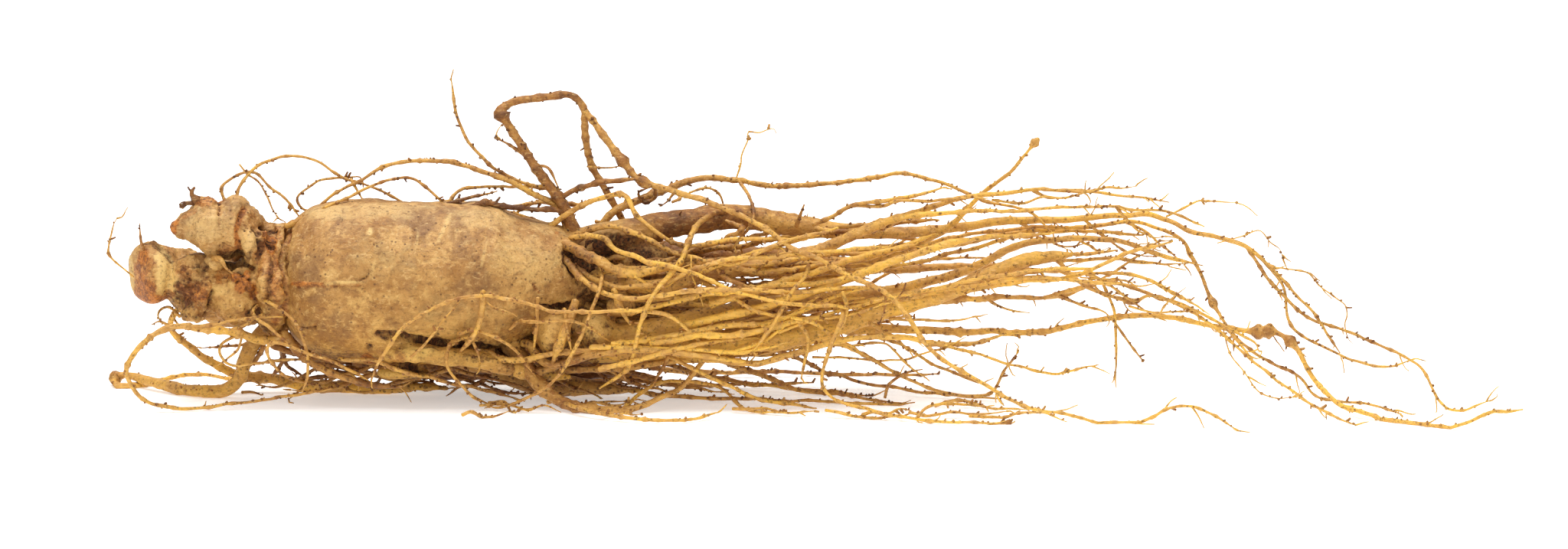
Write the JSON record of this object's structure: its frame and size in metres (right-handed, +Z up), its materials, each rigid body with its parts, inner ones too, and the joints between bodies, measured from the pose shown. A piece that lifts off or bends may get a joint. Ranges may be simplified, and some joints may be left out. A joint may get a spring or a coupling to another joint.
{
  "type": "ginseng root",
  "caption": "Fresh ginseng root lying on its side: a stout furrowed barrel, a knobbly rhizome with a bud stub, and a sheaf of legs and rootlets.",
  "frame": {"origin": "centre of the small flat spot under the prop root that the root rests on, below the right end of the barrel", "axes": "+X along the root towards the rootlet tips, +Y away from the side the picture shows, +Z up"},
  "size_m": [0.3293, 0.0704, 0.0754],
  "materials": {
    "root_skin": "dry tan skin, slightly waxy, with earth in the furrows"
  },
  "bodies": {
    "root": {"ginseng_root": "root_skin"}
  },
  "joints": []
}
